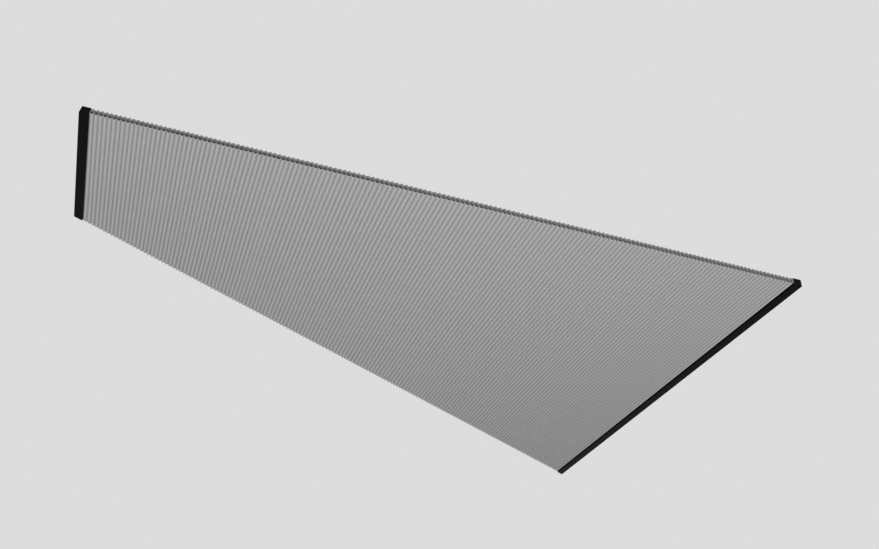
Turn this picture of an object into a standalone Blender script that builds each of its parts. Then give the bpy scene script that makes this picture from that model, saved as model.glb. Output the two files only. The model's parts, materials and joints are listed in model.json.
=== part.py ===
"""Tapered cellular blind for a ceiling skylight, modelled closed.

The wide headrail hangs on the wall at x = 0 and stays there. The narrow closing rail
travels towards it along two taut wires, pulled by two endless cords that run through
the cells of the fabric, round a drive wheel in the headrail and a return pulley at the
narrow end. +X points from the narrow end to the wide end, +Y to the far side, +Z up.
All sizes are in metres.
"""

from math import acos, atan2, cos, hypot, pi, sin, tan

import bmesh
import bpy
from mathutils import Matrix, Vector

# Clearances
seat = 0.0003              # between pieces that rest on each other
run = 0.0005               # between pieces that pass each other

# Fabric, measured from edge to edge along its first and last cell
cell_count = 159
cell_pitch = 0.01238       # on average
end_crowding = 0.065       # share by which the cells beside a rail are narrower
cell_depth = 0.022
wide_length = 1.436
narrow_length = 0.461
narrow_shift = -0.1895     # middle of the narrow end from the middle of the wide end

# The extrusion that both rails are cut from
rail_width = 0.025
rail_height = 0.025
rail_wall = 0.0015
rail_round = 0.002
lip_height = 0.004         # lips beside the opening that faces the wall
groove_depth = 0.0023      # groove for the fabric strip
groove_wall = 0.0012
strip_height = 0.0154
strip_thickness = 0.0014
cap_thickness = 0.002
cap_plug = 0.009
cap_edge = 0.0004

# Cord drive
cord_radius = 0.0006
drive_radius = 0.007       # from the drive wheel's axis to the middle of the cord
return_radius = 0.004      # the same on the return pulley
drive_wheel_width = 0.008
return_pulley_width = 0.004
wheel_flange = 0.0016      # how far a rim stands out past the middle of the cord
drive_rim = 0.0012         # width of a rim's edge
return_rim = 0.0004
shaft_flats = 0.004
journal_radius = 0.0036
journal_length = 0.0022
cheek_thickness = 0.002
cradle_base = 0.0012
return_pin_radius = 0.0012
return_pin_head = 0.0021
return_pin_head_length = 0.0012
return_axis_depth = 0.008  # from the narrow wall to the return pulley's axis

# Guide wires
wire_radius = 0.0006
wire_inset = 0.050         # of each wire from the end of the narrow rail
wire_spacing = 0.030       # from a wire to the cord loop beside it
ferrule_radius = 0.0021
ferrule_length = 0.004
stud_radius = 0.0015
stud_end = 0.0008          # of the stud past its nut
nut_radius = 0.0038
nut_length = 0.005
nut_edge = 0.0006
bush_radius = 0.0024
bush_flange = 0.0042
bush_flange_length = 0.0015
bush_length = 0.0045

# Brackets, clamps and screws
bracket_plate = 0.0012
bracket_length = 0.040
bracket_arm = 0.0011
bracket_hook = 0.0013
bracket_end_margin = 0.110  # from the end of the headrail to the outer brackets
screw_hole_radius = 0.0021
screw_spacing = 0.024
return_plate = 0.0015
return_ear = 0.0015
return_boss_width = 0.008
return_boss_length = 0.008
return_margin = 0.014       # of the plate past the pulley, for one screw
clamp_width = 0.012
clamp_thickness = 0.0048

# Motor and battery
motor_radius = 0.008
motor_length = 0.176
motor_edge = 0.0012         # taper of its far end
motor_edge_length = 0.0035
motor_nose = 0.004
motor_nose_radius = 0.0048
motor_nose_slope = 0.0008
spindle_radius = 0.0020
coupler_radius = 0.0052
coupler_length = 0.020
coupler_gap = 0.004        # from the far wire's nut
coupler_wall = 0.0015      # between the ends of the shaft and the spindle
saddle_length = 0.008
saddle_inset = 0.016       # from the ends of what a saddle holds
saddle_round = 0.0005
module_length = 0.062
module_width = 0.014
module_height = 0.016
battery_radius = 0.0078
battery_length = 0.250
battery_edge = 0.0008
battery_edge_length = 0.0025
lead_radius = 0.0011
lead_length = 0.014
lead_bow = 0.0018

# Smoothness of round pieces
wheel_steps = 32
small_steps = 20
cord_steps = 14

# Places along X
head_back = -seat
head_face = head_back - rail_width
fabric_length = cell_count * cell_pitch
fabric_start = head_face - seat
fabric_end = fabric_start - fabric_length
closing_face = fabric_end - seat
closing_back = closing_face - rail_width
narrow_wall = closing_back - seat

# The rail's section, as depths from the side that faces the wall
cavity_end = rail_width - groove_wall - groove_depth - rail_wall
groove_floor = cavity_end + rail_wall
groove_roof = rail_width - groove_wall
cavity_half = rail_height / 2 - rail_wall
opening_half = rail_height / 2 - lip_height
cord_hole = cord_radius + seat
wire_hole = wire_radius + seat
valley_half = return_radius + cord_hole + seat
neck_half = valley_half + seat
groove_half = strip_height / 2 + seat
cavity_middle = (rail_wall + cavity_end) / 2
past_clips = rail_wall + seat + bracket_hook + bracket_arm + seat

# Axes and lines
drive_axis_x = head_back - cavity_middle
return_axis_x = narrow_wall + return_axis_depth
outward = {"near": -1, "far": 1}
wire_y = {side: narrow_shift + outer * (narrow_length / 2 - wire_inset)
          for side, outer in outward.items()}
loop_y = {side: wire_y[side] - outer * wire_spacing for side, outer in outward.items()}


def edge_y(side, x):
    """The blind's slanted edge on the near or far side, at a place along X."""
    wide = outward[side] * wide_length / 2
    narrow = narrow_shift + outward[side] * narrow_length / 2
    share = (fabric_start - x) / fabric_length
    return wide + (narrow - wide) * share


def clear_scene():
    for item in list(bpy.data.objects):
        bpy.data.objects.remove(item, do_unlink=True)


def new_collection(name):
    collection = bpy.data.collections.new(name)
    bpy.context.scene.collection.children.link(collection)
    return collection


clear_scene()
blind = new_collection("tapered_cellular_blind")
cutters = new_collection("cutters")


def finish(name, colour, roughness, metallic=0.0):
    material = bpy.data.materials.new(name)
    material.use_nodes = True
    shader = material.node_tree.nodes["Principled BSDF"]
    shader.inputs["Base Color"].default_value = (*colour, 1)
    shader.inputs["Roughness"].default_value = roughness
    shader.inputs["Metallic"].default_value = metallic
    material.diffuse_color = (*colour, 1)
    return material


anodised = finish("black_anodised", (0.012, 0.012, 0.013), 0.38, 0.6)
moulded = finish("black_moulded", (0.014, 0.014, 0.015), 0.5)
cloth = finish("grey_cell_cloth", (0.33, 0.33, 0.33), 0.9)
zinc = finish("zinc_plated", (0.55, 0.56, 0.58), 0.35, 1.0)
stainless = finish("stainless_wire", (0.5, 0.5, 0.5), 0.3, 1.0)
nylon = finish("white_nylon", (0.78, 0.78, 0.75), 0.45)
rubber = finish("black_rubber", (0.02, 0.02, 0.02), 0.8)
casing = finish("grey_casing", (0.18, 0.19, 0.2), 0.45)
braid = finish("grey_braid", (0.3, 0.3, 0.3), 0.85)


def add(name, mesh, material, origin, parent=None, rotation=(0, 0, 0)):
    """An object whose mesh is given about its origin, placed by location and rotation."""
    item = bpy.data.objects.new(name, mesh)
    blind.objects.link(item)
    if material is not None:
        mesh.materials.clear()
        mesh.materials.append(material)
    item.parent = parent
    item.location = Vector(origin) - (parent.location if parent else Vector())
    item.rotation_euler = rotation
    return item


def axis_empty(name, place):
    empty = bpy.data.objects.new(name, None)
    empty.empty_display_size = 0.02
    blind.objects.link(empty)
    empty.location = place
    return empty


def about(mesh, origin):
    """The same mesh, counted from an origin instead of from the world's."""
    mesh.transform(Matrix.Translation(-Vector(origin)))
    return mesh


def mesh_from(item):
    """The welded mesh of a curve or of an object with modifiers, which is then removed."""
    bpy.context.view_layer.update()
    graph = bpy.context.evaluated_depsgraph_get()
    mesh = bpy.data.meshes.new_from_object(item.evaluated_get(graph))
    mesh.transform(item.matrix_world)
    bpy.data.objects.remove(item, do_unlink=True)
    work = bmesh.new()
    work.from_mesh(mesh)
    bmesh.ops.remove_doubles(work, verts=work.verts, dist=0.00001)
    bmesh.ops.dissolve_limit(work, angle_limit=0.0005, verts=work.verts, edges=work.edges)
    bmesh.ops.recalc_face_normals(work, faces=work.faces)
    work.to_mesh(mesh)
    work.free()
    return mesh


def rounded(corners, steps=3):
    """An outline through (a, b, radius) corners, each turned by an arc of its radius."""
    outline = []
    for index, (a, b, radius) in enumerate(corners):
        corner = Vector((a, b))
        if radius == 0:
            outline.append((a, b))
            continue
        back = (Vector(corners[index - 1][:2]) - corner).normalized()
        ahead = (Vector(corners[(index + 1) % len(corners)][:2]) - corner).normalized()
        half = acos(max(-1, min(1, back.dot(ahead)))) / 2
        centre = corner + (back + ahead).normalized() * radius / sin(half)
        first = corner + back * radius / tan(half) - centre
        last = corner + ahead * radius / tan(half) - centre
        start = atan2(first.y, first.x)
        turn = (atan2(last.y, last.x) - start + pi) % (2 * pi) - pi
        for step in range(steps + 1):
            angle = start + turn * step / steps
            outline.append((centre.x + radius * cos(angle), centre.y + radius * sin(angle)))
    return outline


def box_outline(low, high, radius=0.0):
    (a, b), (c, d) = low, high
    return rounded([(a, b, radius), (c, b, radius), (c, d, radius), (a, d, radius)])


def extruded(outline, axis, low, high):
    """A solid between two ends along an axis, from an outline in the other two.

    Along Y an end may be a slanted edge, given as a function of x.
    """
    curve = bpy.data.curves.new("outline", "CURVE")
    curve.dimensions = "2D"
    curve.fill_mode = "BOTH"
    curve.extrude = 0.5
    spline = curve.splines.new("POLY")
    spline.points.add(len(outline) - 1)
    for point, (a, b) in zip(spline.points, outline):
        point.co = (a, b, 0, 1)
    spline.use_cyclic_u = True
    item = bpy.data.objects.new("outline", curve)
    blind.objects.link(item)
    mesh = mesh_from(item)
    for vertex in mesh.vertices:
        a, b, along = vertex.co
        end = high if along > 0 else low
        if axis == "X":
            vertex.co = (end, a, b)
        elif axis == "Y":
            vertex.co = (a, end(a) if callable(end) else end, b)
        else:
            vertex.co = (a, b, end)
    work = bmesh.new()
    work.from_mesh(mesh)
    bmesh.ops.recalc_face_normals(work, faces=work.faces)
    work.to_mesh(mesh)
    work.free()
    return mesh


turned_about = {"X": (0, pi / 2, 0), "Y": (-pi / 2, 0, 0)}


def turned(name, profile, material, origin, axis, parent=None, steps=small_steps):
    """A turned piece. The profile's (radius, along) points run down its outer side."""
    mesh = bpy.data.meshes.new(name)
    bored = profile[0][0] > 0
    count = len(profile)
    edges = [(i, (i + 1) % count) for i in range(count if bored else count - 1)]
    mesh.from_pydata([(radius, 0, along) for radius, along in profile], edges, [])
    item = add(name, mesh, material, origin, parent, turned_about[axis])
    screw = item.modifiers.new("turn", "SCREW")
    screw.steps = steps
    screw.render_steps = steps
    screw.use_merge_vertices = True
    screw.merge_threshold = 0.00001
    screw.use_smooth_shade = True
    return item


def cutter(name, *bodies):
    """One cutting object made of one or more bodies that don't meet."""
    mesh = bpy.data.meshes.new(name)
    work = bmesh.new()
    for body in bodies:
        work.from_mesh(body)
    work.to_mesh(mesh)
    work.free()
    item = bpy.data.objects.new(name, mesh)
    item.hide_render = True
    item.display_type = "WIRE"
    cutters.objects.link(item)
    return item


def combine(item, tool, operation="DIFFERENCE"):
    boolean = item.modifiers.new(tool.name, "BOOLEAN")
    boolean.operation = operation
    boolean.solver = "EXACT"
    boolean.object = tool


def bevelled(item, width, segments=1):
    bevel = item.modifiers.new("edges", "BEVEL")
    bevel.width = width
    bevel.segments = segments
    bevel.limit_method = "ANGLE"
    bevel.angle_limit = pi / 3


def round_hole(axis, centre, radius, length, segments=small_steps):
    """A round body of a given length along X or Y, about its centre."""
    mesh = bpy.data.meshes.new("hole")
    work = bmesh.new()
    bmesh.ops.create_cone(work, cap_ends=True, segments=segments, radius1=radius,
                          radius2=radius, depth=length)
    for vertex in work.verts:
        x, y, z = vertex.co
        vertex.co = Vector((z, y, -x) if axis == "X" else (x, z, -y)) + Vector(centre)
    work.to_mesh(mesh)
    work.free()
    return mesh


def tube(name, points, radius, material, origin, cyclic=False):
    """A cord or lead along points that are given about its origin."""
    curve = bpy.data.curves.new(name, "CURVE")
    curve.dimensions = "3D"
    curve.bevel_depth = radius
    curve.bevel_resolution = 1
    curve.use_fill_caps = not cyclic
    spline = curve.splines.new("POLY")
    spline.points.add(len(points) - 1)
    for point, place in zip(spline.points, points):
        point.co = (*place, 1)
    spline.use_cyclic_u = cyclic
    curve.materials.append(material)
    item = bpy.data.objects.new(name, curve)
    blind.objects.link(item)
    item.location = origin
    return item


# The rails' section and what is cut through it

def rail_section(place):
    """Outline of the extrusion, where place turns a depth into a place along X."""
    half = rail_height / 2
    upper = [
        (cavity_end, cavity_half, 0.0),
        (rail_wall, cavity_half, 0.0),
        (rail_wall, opening_half, 0.0),
        (0.0, opening_half, 0.0),
        (0.0, half, rail_round / 2),
        (rail_width, half, rail_round),
        (rail_width, neck_half, 0.0),
        (groove_roof, neck_half, 0.0),
        (groove_roof, groove_half, 0.0),
        (groove_floor, groove_half, 0.0),
    ]
    lower = [(depth, -height, radius) for depth, height, radius in reversed(upper)]
    return rounded([(place(depth), height, radius) for depth, height, radius in upper + lower])


def cap_outline(place):
    """The section's outside, with a notch where the fabric's neck leaves the groove."""
    half = rail_height / 2
    upper = [(0.0, half, rail_round / 2), (rail_width, half, rail_round),
             (rail_width, neck_half, 0.0), (groove_roof, neck_half, 0.0)]
    lower = [(depth, -height, radius) for depth, height, radius in reversed(upper)]
    return rounded([(place(depth), height, radius) for depth, height, radius in upper + lower])


def head_x(depth):
    return head_back - depth


def closing_x(depth):
    return closing_back + depth


rail_places = {"headrail": head_x, "closing_rail": closing_x}
wire_passage = {"headrail": stud_radius, "closing_rail": bush_radius}


def rail_holes(rail):
    """The slots for both runs of each cord, and the holes for the guide wires."""
    place = rail_places[rail]
    low_x, high_x = sorted((place(cavity_end - seat), place(rail_width + seat)))
    slot_width = cord_hole + run
    slot_height = return_radius + cord_hole + run
    bodies = []
    for side in outward:
        y = loop_y[side]
        bodies.append(extruded(
            box_outline((y - slot_width, -slot_height), (y + slot_width, slot_height),
                        cord_hole), "X", low_x, high_x))
        bodies.append(round_hole("X", ((low_x + high_x) / 2, wire_y[side], 0),
                                 wire_passage[rail] + seat, high_x - low_x))
    return cutter(f"{rail}_holes", *bodies)


def build_rail(rail, parent):
    """Channel, fabric strip and the two mitred end caps of one rail."""
    place = rail_places[rail]
    middle_y = (edge_y("near", place(0)) + edge_y("far", place(0))) / 2
    middle = Vector((place(rail_width / 2), middle_y, 0))

    def inset(side, depth):
        return lambda x: edge_y(side, x) - outward[side] * depth

    channel = add(f"{rail}_channel", about(extruded(
        rail_section(place), "Y", inset("near", cap_thickness + seat),
        inset("far", cap_thickness + seat)), middle), anodised, middle, parent)

    strip_low = groove_floor + seat
    strip_x = sorted((place(strip_low), place(strip_low + strip_thickness)))
    strip = add(f"{rail}_strip", about(extruded(
        box_outline((strip_x[0], -strip_height / 2), (strip_x[1], strip_height / 2)), "Y",
        inset("near", cap_thickness + run), inset("far", cap_thickness + run)), middle),
        nylon, middle, parent)

    holes = rail_holes(rail)
    combine(channel, holes)
    combine(strip, holes)

    for side in outward:
        plate = extruded(cap_outline(place), "Y",
                         *ordered(side, inset(side, 0), inset(side, cap_thickness)))
        plug_x = sorted((place(rail_wall + seat), place(cavity_end - seat)))
        plug_half = cavity_half - seat
        plug = extruded(box_outline((plug_x[0], -plug_half), (plug_x[1], plug_half)),
                        "Y", *ordered(side, inset(side, cap_thickness / 2),
                                      inset(side, cap_thickness + cap_plug)))
        end = Vector((middle.x, edge_y(side, middle.x), 0))
        cap = add(f"{rail}_cap_{side}", about(plate, end), moulded, end, parent)
        bevelled(cap, cap_edge)
        combine(cap, cutter(f"{rail}_cap_plug_{side}", plug), "UNION")


def ordered(side, outer, inner):
    """Two ends in the order low, high, for a piece on the near or far side."""
    return (inner, outer) if side == "far" else (outer, inner)


carriage = axis_empty("closing_rail_carriage", (closing_back, narrow_shift, 0))
build_rail("headrail", None)
build_rail("closing_rail", carriage)


# Fabric: pleat tips and glued valleys on both faces, with a neck into each rail's groove

def along_fabric(cells):
    """Place along X past a number of cells, which lie closer together near both rails."""
    spread = end_crowding * cell_count / (2 * pi) * sin(2 * pi * cells / cell_count)
    return fabric_start - cell_pitch * (cells - spread)


def fabric_outline():
    neck = groove_wall - seat
    tip_half = cell_depth / 2
    upper = [(fabric_start + neck, valley_half), (fabric_start, valley_half)]
    for cell in range(cell_count):
        upper.append((along_fabric(cell + 0.5), tip_half))
        upper.append((along_fabric(cell + 1), valley_half))
    upper.append((fabric_end - neck, valley_half))
    return upper + [(x, -z) for x, z in reversed(upper)]


fabric_middle = Vector(((fabric_start + fabric_end) / 2, narrow_shift, 0))
fabric = add("cellular_fabric", about(extruded(
    fabric_outline(), "Y", lambda x: edge_y("near", x), lambda x: edge_y("far", x)),
    fabric_middle), cloth, fabric_middle)
punch_length = fabric_length + 2 * groove_wall
punched_steps = 8
punched = []
for side in outward:
    for y, height, radius in ((loop_y[side], return_radius, cord_hole),
                              (loop_y[side], -return_radius, cord_hole),
                              (wire_y[side], 0, wire_hole)):
        punched.append(round_hole("X", (fabric_middle.x, y, height), radius, punch_length,
                                  punched_steps))
combine(fabric, cutter("punched_holes", *punched))


# Wall brackets of the headrail: a plate whose two sprung arms hook behind the lips

def clip_outline():
    plate_half = opening_half - run
    hook_depth = seat + rail_wall + seat
    tip_depth = hook_depth + bracket_hook
    upper = [
        (-bracket_plate, plate_half - bracket_arm),
        (-tip_depth - bracket_arm, plate_half - bracket_arm),
        (-tip_depth - bracket_arm, plate_half - run),
        (-hook_depth, plate_half + bracket_hook),
        (-hook_depth, plate_half),
        (0.0, plate_half),
    ]
    return upper + [(x, -z) for x, z in reversed(upper)]


outer_bracket = wide_length / 2 - bracket_end_margin
for name, place_y in (("near", -outer_bracket), ("mid", 0.0), ("far", outer_bracket)):
    clip = add(f"headrail_bracket_{name}",
               extruded(clip_outline(), "Y", -bracket_length / 2, bracket_length / 2),
               zinc, (0, place_y, 0))
    combine(clip, cutter(f"headrail_bracket_holes_{name}", *(
        round_hole("X", (0, hole_y, 0), screw_hole_radius, 4 * bracket_plate)
        for hole_y in (place_y - screw_spacing / 2, place_y + screw_spacing / 2))))


# Drive train: motor spindle, coupler, hexagonal shaft and the two drive wheels

drive_axis = Vector((drive_axis_x, 0, 0))
drive_empty = axis_empty("drive_axis", drive_axis)
wheel_half = drive_wheel_width / 2
near_shaft_end = loop_y["near"] - wheel_half - journal_length - cheek_thickness
coupler_start = wire_y["far"] + nut_radius + coupler_gap
nose_y = coupler_start + coupler_length + seat
shaft_end = coupler_start + coupler_length / 2


def hexagon(flats):
    radius = flats / 2 / cos(pi / 6)
    return [(radius * cos(pi / 3 * i), radius * sin(pi / 3 * i)) for i in range(6)]


shaft_mesh = extruded(hexagon(shaft_flats), "Y", near_shaft_end, shaft_end)
add("drive_shaft", shaft_mesh, zinc, drive_axis, drive_empty)

groove = drive_radius - cord_radius - seat
flange = drive_radius + wheel_flange
inside_x = (cavity_middle - cavity_end + seat, cavity_middle - past_clips)
for side in outward:
    reach = wheel_half + journal_length
    bore = shaft_flats / 2 / cos(pi / 6) + seat
    turned(f"drive_wheel_{side}", [
        (bore, reach), (journal_radius, reach), (journal_radius, wheel_half),
        (flange, wheel_half), (flange, wheel_half - drive_rim), (groove, cord_radius),
        (groove, -cord_radius), (flange, drive_rim - wheel_half), (flange, -wheel_half),
        (journal_radius, -wheel_half), (journal_radius, -reach), (bore, -reach)],
        nylon, (drive_axis_x, loop_y[side], 0), "Y", drive_empty, wheel_steps)

    inner_half = wheel_half + run
    outer_half = inner_half + cheek_thickness
    top = cavity_half - seat
    cradle_shape = [
        (-outer_half, -top), (outer_half, -top), (outer_half, top), (inner_half, top),
        (inner_half, cradle_base - top), (-inner_half, cradle_base - top),
        (-inner_half, top), (-outer_half, top)]
    cradle = add(f"wheel_cradle_{side}", extruded(cradle_shape, "X", *inside_x),
                 moulded, (drive_axis_x, loop_y[side], 0))
    combine(cradle, cutter(f"cradle_bore_{side}", round_hole(
        "Y", cradle.location, journal_radius + seat, 3 * outer_half)))

coupler = turned("motor_coupler", [
    (0, coupler_length), (coupler_radius, coupler_length), (coupler_radius, 0), (0, 0)],
    moulded, (drive_axis_x, coupler_start, 0), "Y", drive_empty)
shaft_socket = extruded(hexagon(shaft_flats + 2 * seat), "Y", coupler_start - run,
                        shaft_end + seat)
shaft_socket.transform(Matrix.Translation((drive_axis_x, 0, 0)))
spindle_start = shaft_end + coupler_wall
spindle_end = nose_y + motor_nose
spindle_socket = round_hole("Y", (drive_axis_x, (spindle_start + nose_y) / 2 - seat, 0),
                            spindle_radius + seat, nose_y - spindle_start + 2 * seat)
combine(coupler, cutter("coupler_sockets", shaft_socket, spindle_socket))
turned("motor_spindle", [
    (0, spindle_end - spindle_start), (spindle_radius, spindle_end - spindle_start),
    (spindle_radius, 0), (0, 0)],
    zinc, (drive_axis_x, spindle_start, 0), "Y", drive_empty)


# Motor, control module and battery in the headrail, clear of the sprung wall brackets

motor = turned("motor", [
    (0, motor_length), (motor_radius - motor_edge, motor_length),
    (motor_radius, motor_length - motor_edge_length), (motor_radius, motor_nose),
    (motor_nose_radius, motor_nose - motor_nose_slope), (motor_nose_radius, 0), (0, 0)],
    casing, (drive_axis_x, nose_y, 0), "Y", None, wheel_steps)
combine(motor, cutter("motor_nose_socket", round_hole(
    "Y", (drive_axis_x, nose_y, 0), spindle_radius + seat, 2 * (motor_nose + seat))))
motor_end = nose_y + motor_length
module_start = motor_end + lead_length
module_end = module_start + module_length
battery_start = module_end + lead_length
module_floor = -cavity_half + seat
add("control_module", extruded(
    box_outline((-module_width / 2, 0), (module_width / 2, module_height), rail_wall),
    "Y", 0, module_length), casing,
    (head_x((past_clips + cavity_end) / 2), module_start, module_floor))
turned("battery", [
    (0, battery_length), (battery_radius - battery_edge, battery_length),
    (battery_radius, battery_length - battery_edge_length),
    (battery_radius, battery_edge_length), (battery_radius - battery_edge, 0), (0, 0)],
    casing, (drive_axis_x, battery_start, 0), "Y", None, wheel_steps)


def saddle(name, held_radius, start):
    low_x, high_x = inside_x
    half_z = cavity_half - seat
    piece = add(name, extruded(box_outline((low_x, -half_z), (high_x, half_z), saddle_round),
                               "Y", 0, saddle_length), rubber, (drive_axis_x, start, 0))
    combine(piece, cutter(f"{name}_bore", round_hole(
        "Y", (drive_axis_x, start + saddle_length / 2, 0), held_radius + seat,
        2 * saddle_length, wheel_steps)))


for held, radius, start, length in (
        ("motor", motor_radius, nose_y, motor_length),
        ("battery", battery_radius, battery_start, battery_length)):
    saddle(f"{held}_saddle_near", radius, start + saddle_inset)
    saddle(f"{held}_saddle_far", radius, start + length - saddle_inset - saddle_length)


def lead(name, start):
    length = lead_length - 2 * seat
    points = [(0, length * step / 8, -lead_bow * sin(pi * step / 8) ** 2) for step in range(9)]
    tube(name, points, lead_radius, rubber, (drive_axis_x, start + seat, -lead_radius))


lead("motor_lead", motor_end)
lead("battery_lead", module_end)


# Endless cords: straight through the cells, half round the return pulley, and from the
# slot in the headrail's web along the tangents of the drive wheel

def loop_points():
    """The route in the XZ plane, from the return pulley's lower side and round."""
    route = []
    for step in range(cord_steps + 1):
        angle = -pi / 2 - pi * step / cord_steps
        route.append((return_axis_x + return_radius * cos(angle), return_radius * sin(angle)))
    bend_x = head_x(groove_floor)
    away = drive_axis_x - bend_x
    distance = hypot(away, return_radius)
    first = atan2(return_radius, away) + acos(drive_radius / distance)
    route.append((bend_x, return_radius))
    for step in range(2 * cord_steps + 1):
        angle = first + (2 * pi - 2 * first) * step / (2 * cord_steps)
        route.append((drive_axis_x - drive_radius * cos(angle), drive_radius * sin(angle)))
    route.append((bend_x, -return_radius))
    return route


for side in outward:
    tube(f"cord_loop_{side}",
         [(x - drive_axis_x, 0, z) for x, z in loop_points()], cord_radius, braid,
         (drive_axis_x, loop_y[side], 0), cyclic=True)


# Return pulleys, their pins and the wall brackets that the closing rail closes over

pulley_groove = return_radius - cord_radius - seat
pulley_flange = return_radius + wheel_flange
pulley_half = return_pulley_width / 2
pin_hole = return_pin_radius + seat
ear_inner = pulley_half + seat
ear_outer = ear_inner + return_ear
ear_reach = return_axis_depth + pulley_flange + run
return_plate_half = opening_half - run


def return_outline(outer):
    """Plan of the bracket from the pulley's middle, mirrored for the two sides."""
    low_boss = wire_spacing - return_boss_width / 2
    high_boss = wire_spacing + return_boss_width / 2
    plan = [
        (0, -return_margin), (return_plate, -return_margin), (return_plate, -ear_outer),
        (ear_reach, -ear_outer), (ear_reach, -ear_inner), (return_plate, -ear_inner),
        (return_plate, ear_inner), (ear_reach, ear_inner), (ear_reach, ear_outer),
        (return_plate, ear_outer), (return_plate, low_boss), (return_boss_length, low_boss),
        (return_boss_length, high_boss), (0, high_boss)]
    return [(x, outer * y) for x, y in plan]


for side, outer in outward.items():
    axis_place = Vector((return_axis_x, loop_y[side], 0))
    wall_place = Vector((narrow_wall, loop_y[side], 0))
    bracket = add(f"return_bracket_{side}",
                  extruded(return_outline(outer), "Z", -return_plate_half,
                           return_plate_half), zinc, wall_place)
    boss_y = wire_y[side]
    holes = [
        round_hole("Y", axis_place, pin_hole, 4 * ear_outer),
        round_hole("X", (narrow_wall + return_boss_length / 2, boss_y, 0), wire_hole,
                   2 * return_boss_length)]
    for screw_y in (-(return_margin + ear_outer) / 2,
                    (ear_outer + wire_spacing - return_boss_width / 2) / 2):
        holes.append(round_hole("X", (narrow_wall, loop_y[side] + outer * screw_y, 0),
                                screw_hole_radius, 4 * return_plate))
    combine(bracket, cutter(f"return_bracket_holes_{side}", *holes))
    combine(bracket, cutter(f"ferrule_seat_{side}", round_hole(
        "X", (narrow_wall, boss_y, 0), ferrule_radius + seat,
        2 * (ferrule_length + 2 * seat))))

    pulley_empty = axis_empty(f"return_axis_{side}", axis_place)
    turned(f"return_pulley_{side}", [
        (pin_hole, pulley_half), (pulley_flange, pulley_half),
        (pulley_flange, pulley_half - return_rim), (pulley_groove, cord_radius),
        (pulley_groove, -cord_radius), (pulley_flange, return_rim - pulley_half),
        (pulley_flange, -pulley_half), (pin_hole, -pulley_half)],
        nylon, axis_place, "Y", pulley_empty, wheel_steps)
    pin_half = ear_outer + seat
    pin_top = pin_half + return_pin_head_length
    turned(f"return_pin_{side}", [
        (0, pin_top), (return_pin_head, pin_top), (return_pin_head, pin_half),
        (return_pin_radius, pin_half), (return_pin_radius, -pin_half), (0, -pin_half)],
        stainless, axis_place, "Y")


# Guide wires with a ferrule at the narrow end and a threaded stud in the headrail

wire_start = narrow_wall + seat
stud_start = head_x(groove_floor + seat + strip_thickness)
nut_start = head_x(cavity_end - seat)
total = nut_start + nut_length + stud_end - wire_start
neck_at = stud_start - wire_start
for side in outward:
    turned(f"guide_wire_{side}", [
        (0, total), (stud_radius, total), (stud_radius, neck_at), (wire_radius, neck_at),
        (wire_radius, ferrule_length), (ferrule_radius, ferrule_length),
        (ferrule_radius, 0), (0, 0)],
        stainless, (wire_start, wire_y[side], 0), "X", None, 12)
    nut_bore = stud_radius + seat
    turned(f"wire_nut_{side}", [
        (nut_bore, nut_length), (nut_radius - nut_edge, nut_length),
        (nut_radius, nut_length - nut_edge), (nut_radius, 0), (nut_bore, 0)],
        zinc, (nut_start, wire_y[side], 0), "X")

    flange_high = cavity_end - seat
    bush_low = flange_high - bush_flange_length
    turned(f"guide_bush_{side}", [
        (wire_hole, bush_length), (bush_radius, bush_length),
        (bush_radius, bush_flange_length), (bush_flange, bush_flange_length),
        (bush_flange, 0), (wire_hole, 0)],
        nylon, (closing_x(bush_low), wire_y[side], 0), "X", carriage)


# Clamps that grip the lower run of each cord inside the closing rail

clamp_high = cavity_end - seat
clamp_low = clamp_high - clamp_thickness
for side in outward:
    clamp_half = cavity_half - seat
    clamp = add(f"cord_clamp_{side}", extruded(
        box_outline((-clamp_width / 2, -clamp_half), (clamp_width / 2, clamp_half), rail_wall),
        "X", 0, clamp_thickness), zinc, (closing_x(clamp_low), loop_y[side], 0), carriage)
    middle_x = closing_x((clamp_low + clamp_high) / 2)
    combine(clamp, cutter(f"clamp_holes_{side}", *(
        round_hole("X", (middle_x, loop_y[side], height), radius, 2 * clamp_thickness)
        for height, radius in ((-return_radius, cord_hole),
                               (return_radius, cord_hole + run)))))
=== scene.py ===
"""Looks of a tapered honeycomb skylight blind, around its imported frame."""

import json
from math import pi, radians, sin

import bpy
import numpy as np
from mathutils import Matrix, Vector

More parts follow.
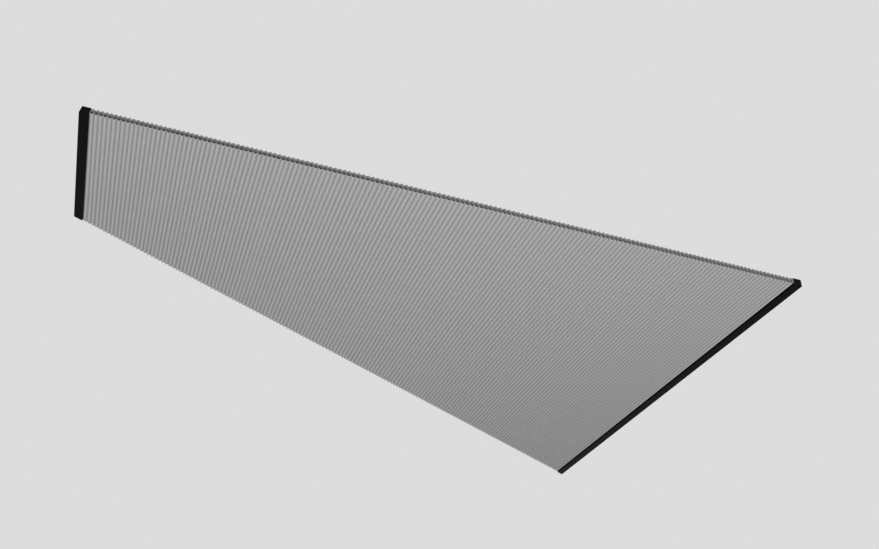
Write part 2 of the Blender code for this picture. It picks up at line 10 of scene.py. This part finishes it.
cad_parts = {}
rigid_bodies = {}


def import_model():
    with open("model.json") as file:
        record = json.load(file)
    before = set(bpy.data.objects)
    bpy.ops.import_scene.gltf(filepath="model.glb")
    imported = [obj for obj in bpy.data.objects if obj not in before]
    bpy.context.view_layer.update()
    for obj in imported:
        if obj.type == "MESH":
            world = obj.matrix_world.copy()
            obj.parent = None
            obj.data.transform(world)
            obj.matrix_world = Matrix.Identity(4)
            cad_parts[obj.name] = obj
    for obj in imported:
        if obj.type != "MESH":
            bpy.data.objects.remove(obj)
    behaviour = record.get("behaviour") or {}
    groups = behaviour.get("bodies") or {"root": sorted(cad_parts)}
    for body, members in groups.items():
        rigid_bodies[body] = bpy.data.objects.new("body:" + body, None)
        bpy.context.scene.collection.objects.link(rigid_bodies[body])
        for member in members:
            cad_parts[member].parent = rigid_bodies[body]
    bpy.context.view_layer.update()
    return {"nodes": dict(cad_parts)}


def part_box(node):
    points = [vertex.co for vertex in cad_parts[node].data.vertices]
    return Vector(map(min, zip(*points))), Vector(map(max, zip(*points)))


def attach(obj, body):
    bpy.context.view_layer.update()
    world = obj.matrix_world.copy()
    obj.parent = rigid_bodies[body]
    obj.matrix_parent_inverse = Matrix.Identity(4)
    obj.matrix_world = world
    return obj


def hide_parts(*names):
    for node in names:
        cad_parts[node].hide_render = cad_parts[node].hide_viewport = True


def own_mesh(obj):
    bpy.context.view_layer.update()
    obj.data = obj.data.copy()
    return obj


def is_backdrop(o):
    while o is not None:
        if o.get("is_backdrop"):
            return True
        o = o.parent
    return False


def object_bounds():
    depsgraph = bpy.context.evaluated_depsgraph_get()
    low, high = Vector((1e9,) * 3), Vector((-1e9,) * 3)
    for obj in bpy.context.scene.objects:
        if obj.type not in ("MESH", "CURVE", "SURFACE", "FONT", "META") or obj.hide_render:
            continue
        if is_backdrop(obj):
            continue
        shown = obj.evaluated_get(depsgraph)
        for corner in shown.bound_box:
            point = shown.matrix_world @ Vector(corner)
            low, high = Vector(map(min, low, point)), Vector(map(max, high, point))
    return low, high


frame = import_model()


# The view: a camera a little over 1.5 m below the blind. It looks up past the near edge, so
# that the wide end lies to the right and the narrow end to the left.

picture_width = 879
focal_pixels = 815
film_width = 36
camera_place = (-1.4819, -2.1086, -1.5645)
camera_turn = (129.104, -6.388, -21.446)

bpy.ops.object.camera_add(location=camera_place, rotation=[radians(a) for a in camera_turn])
camera = bpy.context.object
camera.data.sensor_width = film_width
camera.data.lens = film_width * focal_pixels / picture_width
bpy.context.scene.camera = camera
bpy.context.scene.view_settings.view_transform = "Standard"


# The setting: a pale floor well below the blind, even pale surroundings, and three large
# soft lamps: low on the wide end's side, below the near edge, and overhead.

floor_height = -4.6
floor_size = 80
floor_colour = (0.74, 0.74, 0.735)
surround_level = 0.72
ambient_level = 0.92
key_place = (2.4, -2.2, -2.5)
key_size = 2.0
key_power = 44
fill_place = (-1.9, -2.3, -2.1)
fill_size = 2.2
fill_power = 66
top_place = (-2.6, 1.4, 4.0)
top_size = 2.5
top_power = 40


class Value:
    """The output of a node, on which Python's operators add Math nodes."""

    def __init__(self, finish, socket):
        self.finish = finish
        self.socket = socket

    def maths(self, operation, first, second):
        return self.finish.node("Math", {"operation": operation}, {0: first, 1: second})

    def __add__(self, other):
        return self.maths("ADD", self, other)

    def __mul__(self, other):
        return self.maths("MULTIPLY", self, other)

    __radd__ = __add__
    __rmul__ = __mul__


class Finish:
    """A node tree for a surface or the sky, with one method that adds any node."""

    def __init__(self, name, tree=None):
        if tree is None:
            self.material = bpy.data.materials.new(name)
            self.material.use_nodes = True
            tree = self.material.node_tree
        self.tree = tree
        self.shader = tree.nodes.get("Principled BSDF")

    def node(self, kind, settings, values, output=0):
        made = self.tree.nodes.new("ShaderNode" + kind)
        for name, setting in settings.items():
            setattr(made, name, setting)
        for key, value in values.items():
            self.feed(made.inputs[key], value)
        return Value(self, made.outputs[output])

    def feed(self, socket, value):
        if isinstance(value, Value):
            self.tree.links.new(value.socket, socket)
        else:
            socket.default_value = value

    def surface(self, **values):
        for key, value in values.items():
            name = key.replace("_", " ").title().replace("Ior", "IOR")
            self.feed(self.shader.inputs[name], value)

    def place(self, scale=(1, 1, 1)):
        """The place on the piece, in metres, stretched by a scale."""
        spot = self.node("TexCoord", {}, {}, "Object")
        return self.node("Mapping", {}, {"Vector": spot, "Scale": scale})

    def noise(self, scale, detail=2.0, stretch=(1, 1, 1)):
        return self.node("TexNoise", {}, {"Vector": self.place(stretch), "Scale": scale,
                                          "Detail": detail})

    def between(self, share, low, high):
        """A colour between two, by a share from 0 to 1."""
        low, high = (c if isinstance(c, Value) else (*c, 1) for c in (low, high))
        return self.node("Mix", {"data_type": "RGBA"}, {0: share, 6: low, 7: high}, 2)

    def bump(self, height, distance, strength=1.0):
        self.surface(normal=self.node("Bump", {}, {"Height": height, "Distance": distance,
                                                   "Strength": strength}))


sky = bpy.data.worlds.new("surround")
sky.use_nodes = True
bpy.context.scene.world = sky
light = Finish("surround", sky.node_tree)
backdrop = sky.node_tree.nodes["Background"]
camera_ray = light.node("LightPath", {}, {}, "Is Camera Ray")
glossy_ray = light.node("LightPath", {}, {}, "Is Glossy Ray")
clear_ray = light.node("LightPath", {}, {}, "Is Transmission Ray")
light.feed(backdrop.inputs["Color"], (1, 1, 1, 1))
light.feed(backdrop.inputs["Strength"], ambient_level
           + (camera_ray + glossy_ray + clear_ray) * (surround_level - ambient_level))

bpy.ops.mesh.primitive_plane_add(size=floor_size, location=(0, 0, floor_height))
floor = bpy.context.object
floor.name = "floor"
floor_finish = Finish("pale_floor")
floor_finish.surface(base_color=(*floor_colour, 1), roughness=0.8)
floor.data.materials.append(floor_finish.material)
floor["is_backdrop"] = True


def lamp(name, place, size, power):
    """A square lamp, facing straight up from below the blind or straight down from above."""
    turn = pi if place[2] < 0 else 0
    bpy.ops.object.light_add(type="AREA", location=place, rotation=(turn, 0, 0))
    made = bpy.context.object
    made.name = name
    made.data.size = size
    made.data.energy = power
    made.visible_camera = False


lamp("key_lamp", key_place, key_size, key_power)
lamp("fill_lamp", fill_place, fill_size, fill_power)
lamp("top_lamp", top_place, top_size, top_power)


# Wall brackets of the headrail: three spring clips pressed from 1.1 mm zinc-plated steel,
# each held by two pan-head screws. The arms hook behind the lips of the rail.

def free_copy(mesh, name):
    """A new object with a copy of a mesh, selected alone and active."""
    bpy.ops.object.select_all(action="DESELECT")
    piece = bpy.data.objects.new(name, mesh.copy())
    bpy.context.scene.collection.objects.link(piece)
    bpy.context.view_layer.objects.active = piece
    piece.select_set(True)
    return piece


weld = 0.00001
flat_within = 0.5
sharp_from = 40


def eased(node, edge, finish, body, sharp=sharp_from, shape=None):
    """The frame's own piece, welded and perhaps shaped, its edges eased to a small radius."""
    piece = free_copy(frame["nodes"][node].data, node + "_piece")
    bpy.ops.object.mode_set(mode="EDIT")
    bpy.ops.mesh.select_all(action="SELECT")
    bpy.ops.mesh.remove_doubles(threshold=weld)
    bpy.ops.mesh.dissolve_limited(angle_limit=radians(flat_within))
    bpy.ops.object.mode_set(mode="OBJECT")
    if shape:
        shape(piece.data)
    if edge:
        bevel = piece.modifiers.new("edges", "BEVEL")
        bevel.width = edge
        bevel.segments = 2
        bevel.limit_method = "ANGLE"
        bevel.angle_limit = radians(sharp)
        bevel.use_clamp_overlap = True
        bpy.ops.object.modifier_apply(modifier="edges")
    bpy.ops.object.shade_smooth_by_angle(angle=radians(sharp))
    if edge:
        flat = piece.modifiers.new("flat_faces", "WEIGHTED_NORMAL")
        flat.keep_sharp = True
        bpy.ops.object.modifier_apply(modifier="flat_faces")
    piece.data.materials.clear()
    piece.data.materials.append(finish.material)
    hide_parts(node)
    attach(piece, body)


zinc = Finish("zinc_plate")
zinc_cloud = zinc.noise(90, 4)
zinc_grain = zinc.noise(2600, 2, (1, 0.2, 1))
zinc.surface(base_color=zinc.between(zinc_cloud, (0.50, 0.52, 0.55), (0.64, 0.64, 0.62)),
             metallic=1.0, roughness=zinc_grain * 0.22 + 0.22)
zinc.bump(zinc_grain, 0.00002)

bracket_edge = 0.00018
for side in ("near", "mid", "far"):
    eased(f"headrail_bracket_{side}", bracket_edge, zinc, "headrail")


# Screws of the brackets: 4 mm pan heads with a cross recess, two to each plate. The shank
# ends just short of the plate's back, where the blind ends.

head_radius = 0.0035
head_height = 0.0021
head_dome = 0.0009
recess_length = 0.0036
recess_width = 0.0007
recess_depth = 0.0013
shank_radius = 0.0019
head_smooth = 35


def pan_screw():
    """One screw about the origin, its head's underside at z = 0 and its shank below."""
    bpy.ops.object.select_all(action="DESELECT")
    bpy.ops.mesh.primitive_cylinder_add(vertices=32, radius=head_radius, depth=head_height,
                                        location=(0, 0, head_height / 2))
    head = bpy.context.object
    dome = head.modifiers.new("dome", "BEVEL")
    dome.width = head_dome
    dome.segments = 4
    dome.limit_method = "ANGLE"
    bpy.ops.object.modifier_apply(modifier="dome")
    for length, width in ((recess_length, recess_width), (recess_width, recess_length)):
        bpy.ops.mesh.primitive_cube_add(size=1, location=(0, 0, head_height))
        slot_cutter = bpy.context.object
        slot_cutter.scale = (length, width, 2 * recess_depth)
        bpy.ops.object.transform_apply(location=True, scale=True)
        bpy.ops.object.select_all(action="DESELECT")
        head.select_set(True)
        bpy.context.view_layer.objects.active = head
        recess = head.modifiers.new("recess", "BOOLEAN")
        recess.operation = "DIFFERENCE"
        recess.object = slot_cutter
        bpy.ops.object.modifier_apply(modifier="recess")
        bpy.data.objects.remove(slot_cutter)
    return head


screw_head = pan_screw()


def screw_at(name, place, direction, plate, finish, body):
    """A copy of the screw with its head on a plate, its shank reaching through it."""
    piece = free_copy(screw_head.data, name)
    bpy.ops.object.mode_set(mode="EDIT")
    bpy.ops.mesh.select_all(action="DESELECT")
    bpy.ops.object.mode_set(mode="OBJECT")
    for face in piece.data.polygons:
        face.select = face.normal.z < 0 and abs(face.center.z) < weld
    bpy.ops.object.mode_set(mode="EDIT")
    bpy.ops.mesh.inset(thickness=head_radius - head_dome - shank_radius)
    bpy.ops.mesh.extrude_region_move(TRANSFORM_OT_translate={"value": (0, 0, -plate)})
    bpy.ops.object.mode_set(mode="OBJECT")
    turn = Vector(direction).to_track_quat("Z", "Y").to_matrix().to_4x4()
    piece.data.transform(Matrix.Translation(place) @ turn)
    bpy.ops.object.shade_smooth_by_angle(angle=radians(head_smooth))
    piece.data.materials.append(finish.material)
    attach(piece, body)


screw_spacing = 0.024
plate_thickness = 0.0012
shank_short = 0.0001
for side in ("near", "mid", "far"):
    low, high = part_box(f"headrail_bracket_{side}")
    middle_y = (low.y + high.y) / 2
    for number, offset in ((1, -screw_spacing / 2), (2, screw_spacing / 2)):
        screw_at(f"bracket_screw_{side}_{number}", (-plate_thickness, middle_y + offset, 0),
                 (-1, 0, 0), plate_thickness - shank_short, zinc, "headrail")


# Headrail: a 25 mm aluminium extrusion, open at the back, with a groove in its other side
# that a nylon strip locks the first cell into. It is anodised black with a satin face.

anodised = Finish("black_anodised")
drawn_lines = anodised.noise(900, 3, (1, 0.004, 1))
anodised_cloud = anodised.noise(14, 3)
anodised.surface(
    base_color=anodised.between(anodised_cloud, (0.0008, 0.0008, 0.0009),
                                (0.0016, 0.0016, 0.0017)),
    metallic=0.0, roughness=drawn_lines * 0.14 + 0.34, specular_ior_level=0.05)
anodised.bump(drawn_lines, 0.00001)

nylon = Finish("white_nylon")
nylon_grain = nylon.noise(1800, 3)
nylon.surface(base_color=nylon.between(nylon.noise(60, 3), (0.70, 0.70, 0.665),
                                       (0.80, 0.80, 0.775)),
              roughness=nylon_grain * 0.15 + 0.38)
nylon.bump(nylon_grain, 0.00001)

rail_edge = 0.0002
nylon_edge = 0.0001
eased("headrail_channel", rail_edge, anodised, "headrail")
eased("headrail_strip", nylon_edge, nylon, "headrail")


# Motor, control module and battery: grey casings in the headrail, joined by short leads, the
# two tubes on rubber saddles. Seams show where an end cap or the module's lid is pressed on,
# and a rubber button for pairing stands on the module.

casing = Finish("grey_casing")
casing_rings = casing.noise(1500, 2, (0.02, 1, 0.02))
casing.surface(base_color=casing.between(casing.noise(30, 3), (0.165, 0.175, 0.185),
                                         (0.20, 0.21, 0.22)),
               roughness=casing_rings * 0.2 + 0.35)
casing.bump(casing_rings, 0.00001)

rubber = Finish("black_rubber")
rubber_grain = rubber.noise(1400, 4)
rubber.surface(base_color=rubber.between(rubber.noise(80, 3), (0.016, 0.016, 0.016),
                                         (0.03, 0.03, 0.03)),
               roughness=rubber_grain * 0.2 + 0.7, specular_ior_level=0.3)
rubber.bump(rubber_grain, 0.00003)

casing_edge = 0.0003
rubber_edge = 0.0002
seam_half = 0.0003
seam_depth = 0.0002
end_cap_length = 0.007
lid_share = 0.7


def seamed(node, *planes):
    """A shaping step that presses a shallow groove round a casing at each plane."""
    low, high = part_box(node)

    def press(mesh):
        bpy.ops.object.mode_set(mode="EDIT")
        for place, normal in planes:
            for step in (-seam_half, 0, seam_half):
                bpy.ops.mesh.select_all(action="SELECT")
                bpy.ops.mesh.bisect(plane_co=Vector(place) + step * Vector(normal),
                                    plane_no=normal)
        bpy.ops.object.mode_set(mode="OBJECT")
        middle = (low + high) / 2
        narrowest = min(high - low) / 2
        for place, normal in planes:
            for vertex in mesh.vertices:
                if abs((vertex.co - Vector(place)).dot(Vector(normal))) < seam_half / 2:
                    inward = (middle - vertex.co) * (seam_depth / narrowest)
                    vertex.co += inward - inward.project(Vector(normal))
    return press


for name in ("motor", "battery"):
    low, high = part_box(name)
    ends = seamed(name, ((0, low.y + end_cap_length, 0), (0, 1, 0)),
                  ((0, high.y - end_cap_length, 0), (0, 1, 0)))
    eased(name, casing_edge, casing, "headrail", shape=ends)
module_low, module_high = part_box("control_module")
lid_x = module_low.x + (module_high.x - module_low.x) * lid_share
eased("control_module", casing_edge, casing, "headrail",
      shape=seamed("control_module", ((lid_x, 0, 0), (1, 0, 0))))

button_radius = 0.0026
button_height = 0.0006
button_round = 0.00036
button_inset = 0.009
bpy.ops.object.select_all(action="DESELECT")
bpy.ops.mesh.primitive_cylinder_add(
    vertices=32, radius=button_radius, depth=2 * button_height, rotation=(0, pi / 2, 0),
    location=(module_high.x, module_high.y - button_inset, (module_low.z + module_high.z) / 2))
button = bpy.context.object
button.name = "pairing_button"
bpy.ops.object.transform_apply(location=True, rotation=True)
dome = button.modifiers.new("dome", "BEVEL")
dome.width = button_round
dome.segments = 3
dome.limit_method = "ANGLE"
bpy.ops.object.modifier_apply(modifier="dome")
bpy.ops.object.shade_smooth_by_angle(angle=radians(head_smooth))
button.data.materials.append(rubber.material)
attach(button, "headrail")
for name in ("motor_saddle_near", "motor_saddle_far", "battery_saddle_near",
             "battery_saddle_far"):
    eased(name, rubber_edge, rubber, "headrail")
for name in ("motor_lead", "battery_lead"):
    eased(name, 0, rubber, "headrail")


# Drive: a hexagonal steel shaft, coupled to the motor's spindle, turns two grooved nylon
# wheels in moulded cradles that are pressed into the rail.

moulded = Finish("black_moulded")
moulded_grain = moulded.noise(2200, 3)
moulded.surface(base_color=moulded.between(moulded.noise(25, 3), (0.0010, 0.0010, 0.0011),
                                           (0.0020, 0.0020, 0.0021)),
                roughness=moulded_grain * 0.16 + 0.44, specular_ior_level=0.05)
moulded.bump(moulded_grain, 0.00003)

turned_edge = 0.0001
moulded_edge = 0.0002
for name in ("drive_shaft", "motor_spindle"):
    eased(name, turned_edge, zinc, "drive_train")
eased("motor_coupler", moulded_edge, moulded, "drive_train")
for side in ("near", "far"):
    eased(f"drive_wheel_{side}", nylon_edge, nylon, "drive_train")
    eased(f"wheel_cradle_{side}", moulded_edge, moulded, "headrail")


# End caps of the headrail: moulded plates with a plug, pressed into the rail's cavity and
# cut to the slant of the blind's edge. A broad chamfer runs round the outer face.

cap_edge = 0.0004
cap_sharp = 24
cap_chamfer = 0.0016
rim_depth = 0.0008
rim_shift = 0.00096
face_within = 0.0001


def chamfered(mesh):
    """Shrinks the outer face of a cap and moves the rim around it back along the cap."""
    facing = [face for face in mesh.polygons if abs(face.normal.y) > abs(face.normal.x)]
    face = max(facing, key=lambda face: face.area)
    normal = face.normal.copy()
    spots = [mesh.vertices[i].co.copy() for i in face.vertices]
    middle = sum(spots, Vector()) / len(spots)
    rail_size = max(s.z for s in spots) - min(s.z for s in spots)
    for vertex in mesh.vertices:
        depth = (middle - vertex.co).dot(normal)
        if depth < face_within:
            vertex.co = middle + (vertex.co - middle) * (1 - 2 * cap_chamfer / rail_size)
        elif depth < rim_depth:
            vertex.co.y -= rim_shift if normal.y > 0 else -rim_shift


for side in ("near", "far"):
    eased(f"headrail_cap_{side}", cap_edge, moulded, "headrail", cap_sharp,
          chamfered)


# Guide wires: taut stranded steel, 1.2 mm thick, with a ferrule at the narrow end and a
# threaded stud in the headrail, drawn tight by a nut.

stainless = Finish("stainless_strand")
strand_wave = stainless.node("TexWave", {"bands_direction": "DIAGONAL"},
                             {"Vector": stainless.place(), "Scale": 260.0})
stainless.surface(base_color=stainless.between(strand_wave, (0.30, 0.30, 0.30),
                                               (0.56, 0.56, 0.55)),
                  metallic=1.0, roughness=strand_wave * 0.15 + 0.25)
stainless.bump(strand_wave, 0.00005)

for side in ("near", "far"):
    eased(f"guide_wire_{side}", 0, stainless, "headrail")
    eased(f"wire_nut_{side}", turned_edge, zinc, "headrail")


# Fabric: one honeycomb of 159 cells of grey non-woven polyester, folded and glued to each
# other in bands, punched for the cords and wires, and cut on a taper along both edges.

cell_count = 159
cell_pitch = 0.01238
end_crowding = 0.065            # share by which the cells beside a rail are narrower
cell_depth = 0.022
band_half = 0.0052              # half height of the glued band between two cells
pleat_rise = cell_depth / 2 - band_half
facet = ((0.15, 0.29), (0.31, 0.64))    # bends of a cell's wall, as shares across and up
band_gap = 0.00005
cloth_thickness = 0.00025
rail_gap = 0.0003
neck = 0.0009                   # reach of the end cells into a rail's groove
neck_half = 0.0050
wide_length = 1.436
narrow_length = 0.461
narrow_shift = -0.1895
blank_half = 1.0                # half length of a cell before the taper is cut
wire_y = {"near": -0.370, "far": -0.009}
cord_y = {"near": -0.340, "far": -0.039}
cord_height = 0.004
punch_radius = 0.0009
stations = (-blank_half, -0.7, -0.400, -0.355, -0.190, -0.024, 0.020, 0.5, blank_half)
straight_low = stations[2]
straight_high = stations[6]
seed = 5
wander = 0.00035                # how far a cell strays along the blind
wander_across = (0.6, 2.2)      # waves per metre across the blind
wander_along = (1, 4)           # waves in the blind's length
held_fade = 12                  # the cells stray less within a twelfth of each rail
tip_spread = 0.00018
fold_sharp = 30

fabric_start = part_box("headrail_channel")[0].x - rail_gap
fabric_length = cell_count * cell_pitch


def cell_outline():
    """Cross-section of one cell from the wide end's side, as fourteen (x, z) points."""
    half = [(band_gap / cell_pitch, 0), *facet, (0.5, 1)]
    upper = half + [(1 - across, up) for across, up in reversed(half[:-1])]
    upper = [(-across * cell_pitch, band_half + up * pleat_rise) for across, up in upper]
    return upper + [(x, -z) for x, z in reversed(upper)]


# One cell, as an open tube across the blind, with a ring of points at every station.
bpy.ops.object.select_all(action="DESELECT")
outline = cell_outline()
bpy.ops.mesh.primitive_cylinder_add(vertices=len(outline), radius=cell_depth / 2,
                                    depth=2 * blank_half, end_fill_type="NOTHING")
fabric = bpy.context.object
fabric.name = "honeycomb_fabric"
for vertex in fabric.data.vertices:
    x, z = outline[vertex.index // 2]
    vertex.co = (x, -blank_half if vertex.index % 2 == 0 else blank_half, z)
bpy.ops.object.mode_set(mode="EDIT")
bpy.ops.mesh.select_mode(type="EDGE")
bpy.ops.mesh.select_all(action="DESELECT")
bpy.ops.object.mode_set(mode="OBJECT")
for edge in fabric.data.edges:
    first, last = (fabric.data.vertices[i].co.y for i in edge.vertices)
    edge.select = abs(first - last) > blank_half
bpy.ops.object.mode_set(mode="EDIT")
bpy.ops.mesh.subdivide(number_cuts=len(stations) - 2)
bpy.ops.mesh.select_all(action="SELECT")
bpy.ops.mesh.normals_make_consistent(inside=False)
bpy.ops.object.mode_set(mode="OBJECT")
for vertex in fabric.data.vertices:
    rank = round((vertex.co.y / blank_half + 1) / 2 * (len(stations) - 1))
    vertex.co.y = stations[rank]

# The cell's wall gets the cloth's thickness, and holes for the cords and the wires.
wall = fabric.modifiers.new("cloth", "SOLIDIFY")
wall.thickness = cloth_thickness
wall.offset = -1
wall.material_offset = 1
bpy.ops.object.modifier_apply(modifier="cloth")

punches = []
for side in ("near", "far"):
    punches += [(cord_y[side], cord_height), (cord_y[side], -cord_height), (wire_y[side], 0)]
bpy.ops.object.select_all(action="DESELECT")
for y, height in punches:
    bpy.ops.mesh.primitive_cylinder_add(vertices=8, radius=punch_radius, depth=2 * cell_pitch,
                                        location=(-cell_pitch / 2, y, height),
                                        rotation=(0, pi / 2, 0))
    bpy.context.object["punch"] = True
bpy.ops.object.select_all(action="DESELECT")
for item in list(bpy.data.objects):
    item.select_set("punch" in item)
bpy.ops.object.join()
punch = bpy.context.object
bpy.ops.object.select_all(action="DESELECT")
fabric.select_set(True)
bpy.context.view_layer.objects.active = fabric
holes = fabric.modifiers.new("holes", "BOOLEAN")
holes.operation = "DIFFERENCE"
holes.object = punch
bpy.ops.object.modifier_apply(modifier="holes")
bpy.data.objects.remove(punch)

# The row of cells.
repeat = fabric.modifiers.new("cells", "ARRAY")
repeat.count = cell_count
repeat.use_relative_offset = False
repeat.use_constant_offset = True
repeat.constant_offset_displace = (-cell_pitch, 0, 0)
bpy.ops.object.modifier_apply(modifier="cells")

# The end walls reach into the rails' grooves, the cells beside the rails move closer
# together, and the tubes' ends are drawn in to the two cut edges. Then each cell strays a
# little, as folded cloth does.
points = np.zeros(len(fabric.data.vertices) * 3)
fabric.data.vertices.foreach_get("co", points)
points = points.reshape(-1, 3)
cell = np.arange(len(points)) // (len(points) // cell_count)
along = points[:, 0] + cell * cell_pitch
height = points[:, 2]
wall_zone = 3 * cloth_thickness
first_wall = (cell == 0) & (along > -wall_zone)
last_wall = (cell == cell_count - 1) & (along < -cell_pitch + wall_zone)
points[first_wall, 0] += neck + band_gap
points[last_wall, 0] -= neck + band_gap
points[first_wall | last_wall, 2] *= neck_half / band_half
turn = 2 * pi / fabric_length
points[:, 0] -= end_crowding / turn * np.sin(turn * points[:, 0])
share = -points[:, 0] / fabric_length
for outward, straight, limit in ((-1, straight_low, stations[0]),
                                 (1, straight_high, stations[-1])):
    reach = (points[:, 1] - straight) / (limit - straight)
    edge_y = (outward * wide_length / 2
              + share * (narrow_shift + outward * (narrow_length - wide_length) / 2))
    outside = reach > 0
    points[outside, 1] = (straight + (edge_y - straight) * reach)[outside]
chance = np.random.default_rng(seed)
free = np.clip(np.minimum(share, 1 - share) * held_fade, 0, 1)
for wave in (1, 2, 3):
    across, down = chance.uniform(*wander_across), chance.uniform(*wander_along)
    phase = chance.uniform(0, 6)
    swing = np.sin(2 * pi * (across * points[:, 1] + down * share) + phase)
    points[:, 0] += wander * free / wave * swing
tips = chance.normal(0, tip_spread, cell_count)[cell]
up_pleat = np.clip((np.abs(height) - band_half) / pleat_rise, 0, 1)
points[:, 2] += np.sign(height) * tips * up_pleat
points[:, 0] += fabric_start
fabric.data.vertices.foreach_set("co", points.ravel())
fabric.data.update()
bpy.ops.object.shade_smooth_by_angle(angle=radians(fold_sharp))

fibre_scale = 1500
fibre_stretch = (1, 0.35, 1)
fibre_depth = 0.00006
fibre_strength = 0.7
# The cloth is painted darker towards the glued bands, from half a millimetre inside a band to
# 4.8 mm out along each wall. This is partly the glue's double layer, but mostly painted shade
# in the valleys between the cells.
crease_shade_low = band_half - 0.0005
crease_shade_high = band_half + 0.0048

cloth = Finish("grey_cell_cloth")
fibre = cloth.noise(fibre_scale, 4, fibre_stretch)
fleck = cloth.noise(420, 3)
mottle = fleck * 0.6 + fibre * 0.4
height_up = cloth.node("SeparateXYZ", {}, {0: cloth.place()}, "Z")
off_middle = cloth.node("Math", {"operation": "ABSOLUTE"}, {0: height_up})
clear_of_crease_shade = cloth.node("MapRange", {"interpolation_type": "SMOOTHSTEP"},
                      {"Value": off_middle, "From Min": crease_shade_low, "From Max": crease_shade_high})
# The darker colour is the glue's tone with painted valley shade on top of it.
glue_and_crease_shade = cloth.between(mottle, (0.22, 0.22, 0.22), (0.29, 0.29, 0.29))
open_wall = cloth.between(mottle, (0.315, 0.315, 0.315), (0.415, 0.415, 0.415))
cloth.surface(base_color=cloth.between(clear_of_crease_shade, glue_and_crease_shade, open_wall), roughness=0.92,
              specular_ior_level=0.2, sheen_weight=0.12, sheen_roughness=0.5)
cloth.bump(fibre, fibre_depth, fibre_strength)

# The inside of the cells is paler than the outside. This is partly the cloth's lighter inner
# face, and partly painted light standing in for daylight that shines through the cloth.
inner_cloth_painted_daylight = Finish("pale_cell_inside_painted_daylight")
inner_fibre = inner_cloth_painted_daylight.noise(fibre_scale, 4, fibre_stretch)
inner_cloth_painted_daylight.surface(base_color=inner_cloth_painted_daylight.between(inner_fibre, (0.50, 0.50, 0.50),
                                                   (0.62, 0.62, 0.62)),
                    roughness=0.92, specular_ior_level=0.2)
inner_cloth_painted_daylight.bump(inner_fibre, fibre_depth, fibre_strength)
fabric.data.materials.append(cloth.material)
fabric.data.materials.append(inner_cloth_painted_daylight.material)

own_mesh(fabric)
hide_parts("cellular_fabric")
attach(fabric, "headrail")


# Closing rail: the same extrusion, shorter, with its strip, two end caps, two nylon bushes
# that slide on the guide wires and two clamps that grip the lower run of each cord.

clamp_edge = 0.0002
eased("closing_rail_channel", rail_edge, anodised, "closing_rail")
eased("closing_rail_strip", nylon_edge, nylon, "closing_rail")
for side in ("near", "far"):
    eased(f"closing_rail_cap_{side}", cap_edge, moulded, "closing_rail",
          cap_sharp, chamfered)
    eased(f"guide_bush_{side}", nylon_edge, nylon, "closing_rail")
    eased(f"cord_clamp_{side}", clamp_edge, zinc, "closing_rail")


# Return pulleys: grooved nylon on steel pins, in folded brackets at the narrow end that the
# closing rail closes over. Two screws hold each bracket.

pin_steel = Finish("pin_steel")
pin_lines = pin_steel.noise(1500, 2, (0.05, 1, 0.05))
pin_steel.surface(base_color=(0.5, 0.5, 0.5, 1), metallic=1.0, roughness=pin_lines * 0.2 + 0.2)

return_screw_y = {"near": (0.0089, -0.0149), "far": (-0.0089, 0.0149)}
return_plate = 0.0015
folded_edge = 0.0002
for side in ("near", "far"):
    eased(f"return_bracket_{side}", folded_edge, zinc, "headrail")
    eased(f"return_pin_{side}", turned_edge, pin_steel, "headrail")
    eased(f"return_pulley_{side}", nylon_edge, nylon, f"{side}_pulley")
    wall_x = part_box(f"return_bracket_{side}")[0].x
    for number, offset in enumerate(return_screw_y[side], 1):
        screw_at(f"return_screw_{side}_{number}",
                 (wall_x + return_plate, cord_y[side] + offset, 0), (1, 0, 0),
                 return_plate - shank_short, zinc, "headrail")
bpy.data.objects.remove(screw_head)


# Cord loops: endless braided polyester cords, 1.2 mm thick, taut between the drive wheels
# and the return pulleys. Two sets of diagonal strands cross in the braid.

braid_scale = 300.0
braid = Finish("grey_braid")
braid_left, braid_right = (
    braid.node("TexWave", {"bands_direction": "DIAGONAL"},
               {"Vector": braid.place((way, 1, 1)), "Scale": braid_scale}) for way in (1, -1))
braid_height = braid_left * 0.5 + braid_right * 0.5
braid.surface(base_color=braid.between(braid_height, (0.22, 0.22, 0.22), (0.40, 0.40, 0.39)),
              roughness=0.85)
braid.bump(braid_height, 0.00006)
for side in ("near", "far"):
    eased(f"cord_loop_{side}", 0, braid, "headrail")


# Bounds of the dressed blind, the floor left out.

low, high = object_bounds()
